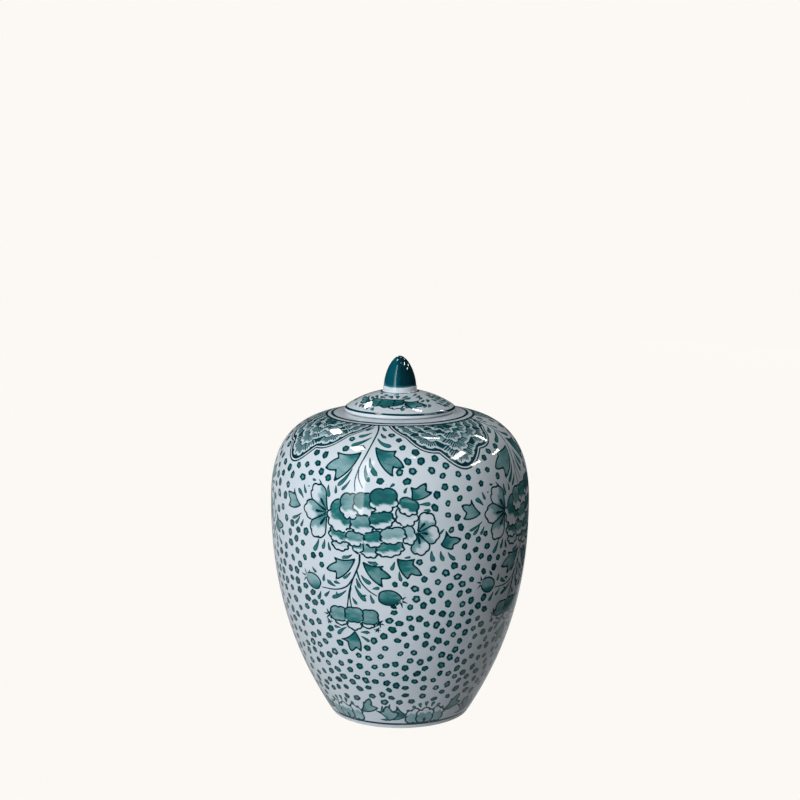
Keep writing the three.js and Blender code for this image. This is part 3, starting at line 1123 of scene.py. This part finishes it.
class Glaze:
    """A material under construction."""

    def __init__(self, name, **shader):
        self.material = bpy.data.materials.new(name)
        self.nodes = blank_nodes(self.material)
        self.shader = self.nodes.add("ShaderNodeBsdfPrincipled", **shader)
        self.nodes.add("ShaderNodeOutputMaterial", Surface=self.shader.outputs[0])
        place = self.nodes.add("ShaderNodeTexCoord").outputs["Object"]
        self.place = place
        parts = self.nodes.add("ShaderNodeSeparateXYZ", _0=place).outputs
        self.x, self.y, self.z = (Value(self.nodes, socket) for socket in parts)

    def set(self, **sockets):
        for name, value in sockets.items():
            self.nodes.put(self.shader.inputs, name, value)

    def noise(self, scale, detail, roughness=0.5, stretch=None):
        place = self.place
        if stretch:
            place = self.nodes.get("ShaderNodeVectorMath", {"operation": "MULTIPLY"},
                                   _0=place, _1=stretch)
        return self.nodes.get("ShaderNodeTexNoise", Vector=place, Scale=scale, Detail=detail,
                              Roughness=roughness)

    def attribute(self, name):
        node = self.nodes.add("ShaderNodeAttribute",
                              {"attribute_type": "GEOMETRY", "attribute_name": name})
        parts = self.nodes.add("ShaderNodeSeparateXYZ", _0=node.outputs["Vector"]).outputs
        return [Value(self.nodes, socket) for socket in parts]

    def ramp(self, value, *stops):
        return self.nodes.get("ShaderNodeValToRGB", {"stops": stops}, _0=value).socket

    def blend(self, share, first, second):
        """Mixes two colours, each a socket or three numbers."""
        node = self.nodes.add("ShaderNodeMix", {"data_type": "RGBA", "blend_type": "MIX"})
        colour_sockets = [socket for socket in node.inputs if socket.type == "RGBA"]
        for socket, colour in zip(colour_sockets, (first, second)):
            if isinstance(colour, bpy.types.NodeSocket):
                self.nodes.tree.links.new(colour, socket)
            else:
                socket.default_value = (*colour, 1)
        self.nodes.put(node.inputs, "_0", share)
        return [socket for socket in node.outputs if socket.type == "RGBA"][0]

    def bump(self, height, distance, strength):
        self.set(Normal=self.nodes.get("ShaderNodeBump", Height=height, Distance=distance,
                                       Strength=strength))


def paint_tone(g):
    """How much paint lies at each place: 0 bare, 1 a full dark line."""
    wobble = (g.noise(520.0, 2.0) - 0.5) * 0.55 + (g.noise(1700.0, 1.0) - 0.5) * 0.30
    streak = g.noise(75.0, 4.0, 0.62, (1.0, 1.0, 2.4))
    cloud = g.noise(28.0, 2.0)

    deep, tone_in, tone_out = g.attribute("wash")
    wash = tone_out.toward(tone_in, (deep + wobble).between(-0.15, 0.15))
    wash = wash * (0.34 + streak * 1.0 + cloud * 0.32)

    tone = wash
    for name in ("stroke_a", "stroke_b"):
        across, half, core = g.attribute(name)
        edge = half - abs(across) + wobble * 0.42
        cover = edge.between(-0.14, 0.16)
        inner = edge.between(0.35, 0.95)
        load = (0.74 + streak * 0.40).toward(core * (0.55 + streak * 0.75), inner)
        tone = tone.most(cover * load)

    x, y, there = g.attribute("dot")
    reach = (x * x + y * y) ** 0.5
    lobes = (y.bearing(x) * 5.0).sine() * 0.045 + 1.0
    reach = reach / lobes + wobble * 0.95
    ring = (1.0 - reach.between(0.90, 1.06)) * reach.between(0.05, 0.60)
    middle = (1.0 - reach.between(0.85, 1.0)) * (0.22 + cloud * 1.05)
    dot = (ring * (0.72 + streak * 0.40)).most(middle * there) * (there > 0.3)
    tone = tone.most(dot)

    lines, mask, _ = g.attribute("hatch")
    comb = abs(lines.fraction() - 0.5)
    hatch = (1.0 - (comb - mask * 0.30).between(-0.06, 0.06)) * (mask > 0.06) * 0.86
    return tone.most(hatch).clamped()


def shade(colour, share):
    """A colour lighter or darker by a share, no brighter than white."""
    return [min(v * share, 1) for v in colour]


def porcelain(name, feet):
    """Glossy bluish porcelain, painted under the glaze; feet are the bare, unglazed rings:
    each is (lowest height, highest height, inner radius, outer radius)."""
    c = colours()
    g = Glaze(name, Roughness=0.11, IOR=1.5, Coat_Weight=0.0)
    cloud = g.noise(14.0, 3.0)
    body = g.blend(cloud, shade(c.porcelain, 0.95), shade(c.porcelain, 1.04))
    speck = g.noise(900.0, 1.0).between(0.755, 0.78)
    body = g.blend(speck * 0.5, body, (0.22, 0.20, 0.17))
    rough = 0.025 + g.noise(30.0, 2.0) * 0.03
    tone = paint_tone(g)
    paint = g.ramp(tone, (0.0, c.sage), (0.25, c.sage), (0.55, c.green), (0.92, c.teal))
    body = g.blend(tone.between(0.0, 0.25), body, paint)
    rough = rough + tone * 0.03
    radius = (g.x * g.x + g.y * g.y) ** 0.5
    waver = (g.noise(160.0, 2.0) - 0.5) * (0.9 * MM)
    bare = reduce(Value.most, [(g.z + waver > low) * (g.z + waver < high)
                               * (radius + waver > inner) * (radius + waver < outer)
                               for low, high, inner, outer in feet])
    grain = g.noise(1300.0, 3.0, 0.7)
    clay = g.blend(grain, shade(c.biscuit, 0.75), shade(c.biscuit, 1.15))
    body = g.blend(bare, body, clay)
    rough = rough.toward(0.75, bare)
    orange_peel = g.noise(70.0, 2.0) + g.noise(420.0, 1.0) * 0.12
    g.bump(orange_peel, 0.0003, 0.12)
    g.set(Base_Color=body, Roughness=rough)
    return g.material


def knob_glaze(base):
    """Thick teal glaze over a white collar, with an uneven lower edge and thinner just above it,
    and painted shade darkening its right side.
    """
    c = colours()
    g = Glaze("teal_glaze_acorn", Roughness=0.08, IOR=1.5)
    waver = (g.noise(90.0, 2.0) - 0.5) * (1.6 * MM)
    height = g.z - base + waver
    glazed = height.between(4.1 * MM, 4.7 * MM)
    thin = (1.0 - height.between(4.5 * MM, 6.5 * MM)) * 0.55
    cloud = g.noise(120.0, 3.0)
    # Painted shade: the glaze turns near black down the knob's right side (towards +x), the side
    # away from the light.
    painted_shade_right = (g.x + waver).between(-4.0 * MM, 1.0 * MM)
    deep = g.blend(cloud, shade(c.knob, 0.70), shade(c.knob, 1.30))
    deep = g.blend(painted_shade_right * 0.72, deep, shade(c.knob, 0.12))
    deep = g.blend(thin, deep, (0.06, 0.26, 0.30))
    pits = g.noise(1500.0, 1.0).between(0.72, 0.75)
    deep = g.blend(pits * 0.6, deep, (0.10, 0.22, 0.24))
    white = g.blend(cloud, shade(c.porcelain, 0.93), shade(c.porcelain, 1.0))
    g.set(Base_Color=g.blend(glazed, white, deep), Roughness=0.012 + cloud * 0.02)
    g.bump(g.noise(150.0, 2.0), 0.0003, 0.12)
    return g.material


# ---------------------------------------------------------------- outlines of the lid and knob

BRIM = 0.005
BRIM_PROUD = 0.0015
DOME_RISE = 0.0152
LID_WALL = 0.005
FLANGE_CLEARANCE = 0.002
FLANGE_WALL = 0.0042
COLLAR_HEIGHT = 0.0047
COLLAR_PROUD = 0.0005
ACORN_TAPER = 1.6
ACORN_BLUNTNESS = 0.56
KNOB_SINK = 0.0008


def dome():
    """Foot radius, foot height, sphere radius and centre height of the lid's dome."""
    s = sizes()
    radius = s.lid_radius - BRIM_PROUD
    foot = s.lid_base + BRIM
    sphere = (radius ** 2 + DOME_RISE ** 2) / (2 * DOME_RISE)
    return radius, foot, sphere, foot + DOME_RISE - sphere


def dome_arc(sphere, centre, inner, outer, step):
    """Points over the dome from an inner radius out to an outer one."""
    a, b = math.asin(inner / sphere), math.asin(outer / sphere)
    angles = np.linspace(a, b, max(3, int((b - a) * sphere / step)))
    return np.c_[sphere * np.sin(angles), centre + sphere * np.cos(angles)]


def knob_sizes():
    """Widest radius, radius of the collar, and height of its foot."""
    top = corner("lid_knob", True)
    return top.x - COLLAR_PROUD, top.x, corner("lid_knob", False).z


def lid_outline():
    """From the pad under the knob, over the dome and rim, round the flange to the hollow."""
    s = sizes()
    dome_foot, foot, sphere, centre = dome()
    pad = knob_sizes()[1]
    bead = BRIM / 2
    flange = s.mouth_radius - FLANGE_CLEARANCE
    inner = flange - FLANGE_WALL
    low = s.lid_base - s.flange_depth
    hollow = sphere - LID_WALL
    cove = 2 * EDGE
    over = dome_arc(sphere, centre, pad, dome_foot - 0.0006, 0.0005)
    return join([(0, over[0][1]), (pad * 0.5, over[0][1]), over[0]], over,
                [(dome_foot + 0.0001, foot - 0.0001)],
                arc((s.lid_radius - bead, s.lid_base + bead), bead, 40, -90, 14),
                resample([(s.lid_radius - bead, s.lid_base), (flange + EDGE, s.lid_base)], 0.003),
                arc((flange + EDGE, s.lid_base - EDGE), EDGE, 90, 180, 5),
                resample([(flange, s.lid_base - EDGE), (flange, low + EDGE)], 0.003),
                arc((flange - EDGE, low + EDGE), EDGE, 0, -90, 6),
                arc((inner + EDGE, low + EDGE), EDGE, -90, -180, 6),
                resample([(inner, low + EDGE),
                          (inner, centre + math.sqrt(hollow ** 2 - inner ** 2) - cove)], 0.003),
                dome_arc(hollow, centre, 0, inner - cove, 0.003)[::-1])


def knob_outline():
    """From the acorn's tip down over the collar to a small fillet luted on the lid."""
    widest, collar, foot = knob_sizes()
    top = corner("lid_knob", True).z
    tall = top - foot - COLLAR_HEIGHT
    share = 1 - np.linspace(0, 1, 60) ** 2.2
    acorn = np.c_[widest * (1 - share ** ACORN_TAPER) ** ACORN_BLUNTNESS,
                  foot + COLLAR_HEIGHT + tall * share]
    acorn[0] = (0, top)
    lip = 0.0007
    low = foot - KNOB_SINK
    return join(acorn[:-1], [(widest, foot + COLLAR_HEIGHT)],
                arc((collar - lip, foot + COLLAR_HEIGHT - lip - 0.0001), lip, 70, 0, 5),
                resample([(collar, foot + 2.4 * MM), (collar, foot + 1.2 * MM)], 0.0012),
                [(collar + 0.1 * MM, foot + 0.5 * MM), (collar + 0.45 * MM, foot + 0.05 * MM),
                 (collar + 1.0 * MM, low), (collar * 0.5, low), (0, low)])


# ---------------------------------------------------------------- pieces

BAKE_MAP = "OFBake"
WALL_SHARE = 0.82
MAP_GAP = 0.01
LID_PAINT = 0.0415
LID_TURNS = 64                   # on top of half of the jar's
KNOB_TURNS = 128


def unwrap(mesh, start, end):
    """Bake map: the painted wall fills the top of the sheet, all the rest its foot."""
    vertex = column(mesh.loops, "vertex_index", kind=int)
    co = column(mesh.vertices, "co", 3)[vertex]
    along = column(mesh.attributes["along"].data, "value")[vertex]
    totals = column(mesh.polygons, "loop_total", kind=int)
    face = np.repeat(np.arange(len(totals)), totals)
    middle = np.c_[np.bincount(face, co[:, 0]), np.bincount(face, co[:, 1])]
    centre = np.arctan2(middle[:, 0], -middle[:, 1])[face]
    turn = turn_between(np.arctan2(co[:, 0], -co[:, 1]), centre)
    turn[np.hypot(co[:, 0], co[:, 1]) < 1e-6] = 0
    u = np.clip((centre + turn + math.pi) / TAU, 0, 1)
    whole = along.max()
    painted = (np.bincount(face, along) / totals)[face]
    on_wall = (painted > start) & (painted < end)
    rest = np.where(along <= start + 1e-7, along, along - (end - start))
    low = rest / (whole - (end - start)) * (1 - WALL_SHARE - MAP_GAP)
    high = 1 - (along - start) / (end - start) * WALL_SHARE
    v = np.where(on_wall, high, low)
    layer = mesh.uv_layers.new(name=BAKE_MAP)
    layer.data.foreach_set("uv", np.c_[u, v].astype(np.float32).reshape(-1))
    layer.active = True


def keep(piece, body, node):
    """Rides a body in place of a frame node."""
    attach(piece, body)
    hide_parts(node)


class JAR_OT_body(bpy.types.Operator):
    """Thrown jar: foot ring, painted wall, seat, mouth and hollow"""
    bl_idname = "ginger_jar.body"
    bl_label = "Jar body"

    def execute(self, context):
        s = sizes()
        outer, foot, inner = jar_outlines()
        start = length_of(inner)
        wall = resample(outer, s.row)
        standing = s.foot_radius - FOOT_RING
        seat_edge = s.lid_radius + 0.3 * MM
        glaze = porcelain("painted_porcelain", feet=(
            (-1.0, 0.7 * MM, standing + 0.4 * MM, s.foot_radius + 2 * MM),
            (s.seat_height - 0.25 * MM, 1.0, s.mouth_radius + 2.6 * MM, seat_edge - 1.2 * MM)))
        piece = revolve("ginger_jar_body", join(inner, wall, foot), s.turns, glaze, s.unevenness)
        paint_jar(piece.data, start)
        unwrap(piece.data, start, start + length_of(wall))
        keep(piece, "jar", "jar_body")
        return {"FINISHED"}


class JAR_OT_lid(bpy.types.Operator):
    """Domed lid with a beaded rim and a flange that drops into the mouth"""
    bl_idname = "ginger_jar.lid"
    bl_label = "Lid"

    def execute(self, context):
        s = sizes()
        flange = s.mouth_radius - FLANGE_CLEARANCE
        low = s.lid_base - s.flange_depth
        glaze = porcelain("painted_porcelain_lid", feet=(
            (low + 2.5 * MM, s.lid_base + 0.3 * MM, flange - 1.0 * MM, s.lid_radius - 2.8 * MM),
            (-1.0, low + 1.0 * MM, 0.0, 1.0)))
        outline = lid_outline()
        start = knob_sizes()[1]
        piece = revolve("ginger_jar_lid", outline, s.turns // 2 + LID_TURNS, glaze, s.unevenness)
        paint_lid(piece.data, start)
        unwrap(piece.data, start, start + LID_PAINT)
        keep(piece, "lid", "lid")
        return {"FINISHED"}


class JAR_OT_knob(bpy.types.Operator):
    """Acorn knob in solid glaze, over a white collar luted on the lid"""
    bl_idname = "ginger_jar.knob"
    bl_label = "Acorn knob"

    def execute(self, context):
        foot = knob_sizes()[2]
        piece = revolve("acorn_knob", knob_outline(), KNOB_TURNS, knob_glaze(foot))
        keep(piece, "lid", "lid_knob")
        return {"FINISHED"}


# ---------------------------------------------------------------- stage

BACKDROP = (0.974, 0.947, 0.904)
CAMERA_PLACE = (0.0, -1.598, 0.553)
CAMERA_PITCH = 9.22
CAMERA_LENS = 78.84
SENSOR_WIDTH = 36
JAR_MIDDLE = (0, 0, 0.2)


def aim(lamp, place, target):
    """Puts a lamp at a place and turns it to face a target."""
    lamp.location = place
    away = Vector(place) - Vector(target)
    lamp.rotation_euler = away.to_track_quat("Z", "Y").to_euler()


def panel(name, place, width, height, glow, colour, target=JAR_MIDDLE, fade=None):
    """A flat light of a given glow (W/m2/sr); fade gives its glow's shares at its two sides."""
    data = bpy.data.lights.new(name, "AREA")
    data.shape = "RECTANGLE"
    data.size, data.size_y = width, height
    data.energy = glow * 4 * width * height
    data.color = colour
    if fade:
        n = blank_nodes(data)
        place_on = n.add("ShaderNodeNewGeometry").outputs["Parametric"]
        across = n.get("ShaderNodeSeparateXYZ", _0=place_on)
        dim = n.get("ShaderNodeMapRange", {"interpolation_type": "SMOOTHSTEP"}, Value=across,
                    To_Min=fade[0], To_Max=fade[1])
        n.add("ShaderNodeOutputLight", Surface=n.get("ShaderNodeEmission", Strength=dim))
    lamp = bpy.data.objects.new(name, data)
    bpy.context.scene.collection.objects.link(lamp)
    aim(lamp, place, target)
    lamp.visible_camera = False
    return lamp


def round_about(angle, lift, distance):
    """A place seen from the jar at an angle to the right of the camera and a lift (degrees)."""
    a, e = math.radians(angle), math.radians(lift)
    return (JAR_MIDDLE[0] + distance * math.sin(a) * math.cos(e),
            JAR_MIDDLE[1] - distance * math.cos(a) * math.cos(e),
            JAR_MIDDLE[2] + distance * math.sin(e))


AIR_SEEN = (BACKDROP, 1.0)
AIR_LIT = ((1.0, 1.0, 0.92), 0.13)
AIR_GLOSSY = ((0.85, 1.0, 0.75), 0.026)


def studio_air():
    """Surroundings: plain to the camera, soft light on the jar, dim in its reflections."""
    world = bpy.data.worlds.new("studio")
    n = blank_nodes(world)
    path = n.add("ShaderNodeLightPath").outputs
    soft, shine, plain = (n.get("ShaderNodeBackground", Color=(*colour, 1), Strength=strength)
                          for colour, strength in (AIR_LIT, AIR_GLOSSY, AIR_SEEN))
    body = n.get("ShaderNodeMixShader", _0=path["Is Glossy Ray"], _1=soft, _2=shine)
    both = n.get("ShaderNodeMixShader", _0=path["Is Camera Ray"], _1=body, _2=plain)
    n.add("ShaderNodeOutputWorld", Surface=both)
    return world


TABLE_EDGE = (-0.10, 0.008)              # place, softness
TABLE_SIDE = (0.26, -0.02)
TABLE_GLOW = (0.03, 0.42)                # off the table, on it
TABLE_COLOUR = (0.93, 0.97, 1.0)
TABLE_LIT = 0.30                         # share of its glow that lights the jar
PAPER_TINT = (0.74, 0.78)
PAPER_SEEN = 0.997                       # share of the plain backdrop in what is seen


def studio_paper():
    """Pale paper floor that meets the backdrop without an edge. What the glaze mirrors of it
    is a white table top that ends just in front of the jar."""
    material = bpy.data.materials.new("studio_paper")
    n = blank_nodes(material)
    place = n.add("ShaderNodeTexCoord").outputs["Object"]
    x, y, _ = n.add("ShaderNodeSeparateXYZ", _0=place).outputs

    def past(value, edge, softness):
        return n.get("ShaderNodeMapRange", {"interpolation_type": "SMOOTHSTEP"}, Value=value,
                     From_Min=edge - softness, From_Max=edge + softness)

    table = past(y, *TABLE_EDGE) * past(x, *TABLE_SIDE)
    table = n.get("ShaderNodeMapRange", Value=table, To_Min=TABLE_GLOW[0], To_Max=TABLE_GLOW[1])
    path = n.add("ShaderNodeLightPath").outputs
    table = table * n.get("ShaderNodeMapRange", Value=path["Is Glossy Ray"], To_Min=TABLE_LIT)
    top = n.get("ShaderNodeEmission", Color=(*TABLE_COLOUR, 1), Strength=table)
    grain = n.get("ShaderNodeTexNoise", Scale=6.0)
    tint = n.get("ShaderNodeMapRange", Value=grain, To_Min=PAPER_TINT[0], To_Max=PAPER_TINT[1])
    paper = n.get("ShaderNodeBsdfDiffuse", Color=tint)
    glow = n.get("ShaderNodeEmission", Color=(*BACKDROP, 1), Strength=1.0)
    seen = n.get("ShaderNodeMixShader", _0=PAPER_SEEN, _1=paper, _2=glow)
    both = n.get("ShaderNodeMixShader", _0=path["Is Camera Ray"], _1=top, _2=seen)
    n.add("ShaderNodeOutputMaterial", Surface=both)
    return material


FLOOR_RADIUS = 6
FLOOR_SIDES = 48
WINDOW_ANGLE = -38.9
WINDOW_DISTANCE = 1.5
WINDOW_HEIGHT = 1.14
WINDOW_SIZE = (0.46, 2.24)
WINDOW_GLOW = 4.4
WINDOW_COLOUR = (0.97, 0.99, 1.0)
WINDOW_FADE = (0.25, 1.0)
SOFT_DISTANCE = 2.6
SOFT_SIZE = 1.8
SOFT_LAMPS = (
    # name, degrees to the camera's right, lift, glow, colour
    ("soft_fill", -30, 16, 3.87, (0.925, 0.970, 1.0)),
    ("top_fill", 62, 48, 0.35, (1.0, 1.0, 0.95)),
    ("back_fill_right", 152, 14, 4.6, (0.95, 0.98, 1.0)),
    ("back_fill_left", -150, 14, 2.6, (0.95, 0.98, 1.0)),
)
CEILING = 2.4
CEILING_GLOW = 24.0
CEILING_COLOUR = (1.0, 1.0, 0.94)
CEILING_PANELS = (
    # x, y, length across, length along
    (-1.05, 2.15, 0.26, 0.75), (-1.0, -0.06, 0.34, 0.34), (0.54, 0.87, 0.30, 0.10),
    (1.85, 1.95, 0.75, 0.16), (1.86, -0.40, 0.32, 0.85), (3.9, 2.1, 0.30, 1.2),
    (3.55, -0.4, 0.28, 0.9), (0.42, -1.06, 0.12, 0.07), (0.34, -1.00, 0.05, 0.05),
)


class JAR_OT_stage(bpy.types.Operator):
    """Pale floor, soft studio light and the camera"""
    bl_idname = "ginger_jar.stage"
    bl_label = "Stage"

    def execute(self, context):
        scene = context.scene
        camera = bpy.data.cameras.new("camera")
        camera.lens = CAMERA_LENS
        camera.sensor_width = SENSOR_WIDTH
        camera.clip_end = 100
        eye = bpy.data.objects.new("camera", camera)
        eye.location = CAMERA_PLACE
        eye.rotation_euler = (math.radians(90 - CAMERA_PITCH), 0, 0)
        scene.collection.objects.link(eye)
        scene.camera = eye
        scene.view_settings.view_transform = "Standard"

        scene.world = studio_air()

        floor = bpy.data.meshes.new("studio_floor")
        rim = [(FLOOR_RADIUS * math.sin(TAU * k / FLOOR_SIDES),
                FLOOR_RADIUS * math.cos(TAU * k / FLOOR_SIDES), 0) for k in range(FLOOR_SIDES)]
        floor.from_pydata(rim, [], [tuple(reversed(range(FLOOR_SIDES)))])
        floor.materials.append(studio_paper())
        ground = bpy.data.objects.new("studio_floor", floor)
        scene.collection.objects.link(ground)

        panel("window_left", (*round_about(WINDOW_ANGLE, 0, WINDOW_DISTANCE)[:2], WINDOW_HEIGHT),
              *WINDOW_SIZE, WINDOW_GLOW, WINDOW_COLOUR, (0, 0, WINDOW_HEIGHT), WINDOW_FADE)
        for name, angle, lift, glow, colour in SOFT_LAMPS:
            lamp = panel(name, round_about(angle, lift, SOFT_DISTANCE), SOFT_SIZE, SOFT_SIZE,
                         glow, colour)
            lamp.visible_glossy = False
        for k, (x, y, width, length) in enumerate(CEILING_PANELS):
            lamp = panel(f"ceiling_{k}", (x, y, CEILING), width, length, CEILING_GLOW,
                         CEILING_COLOUR, (x, y, 0))
            lamp.visible_diffuse = False
        return {"FINISHED"}


class JAR_PT_panel(bpy.types.Panel):
    """Lists the pieces of the ginger jar"""
    bl_idname = "JAR_PT_panel"
    bl_label = "Ginger Jar"
    bl_space_type = "VIEW_3D"
    bl_region_type = "UI"
    bl_category = "Ginger Jar"

    def draw(self, context):
        for maker in MAKERS:
            self.layout.operator(maker.bl_idname)
        for group in (context.scene.jar_sizes, context.scene.jar_colours):
            for name in group.bl_rna.properties.keys():
                if name not in ("rna_type", "name"):
                    self.layout.prop(group, name)


MAKERS = (JAR_OT_stage, JAR_OT_body, JAR_OT_lid, JAR_OT_knob)
CLASSES = (JarSizes, JarColours, *MAKERS, JAR_PT_panel)


def register():
    for cls in CLASSES:
        bpy.utils.register_class(cls)
    bpy.types.Scene.jar_sizes = bpy.props.PointerProperty(type=JarSizes)
    bpy.types.Scene.jar_colours = bpy.props.PointerProperty(type=JarColours)


def unregister():
    del bpy.types.Scene.jar_colours
    del bpy.types.Scene.jar_sizes
    for cls in reversed(CLASSES):
        bpy.utils.unregister_class(cls)


def main():
    register()
    bpy.ops.ginger_jar.stage()
    bpy.ops.ginger_jar.body()
    bpy.ops.ginger_jar.lid()
    bpy.ops.ginger_jar.knob()


if __name__ == "__main__":
    main()
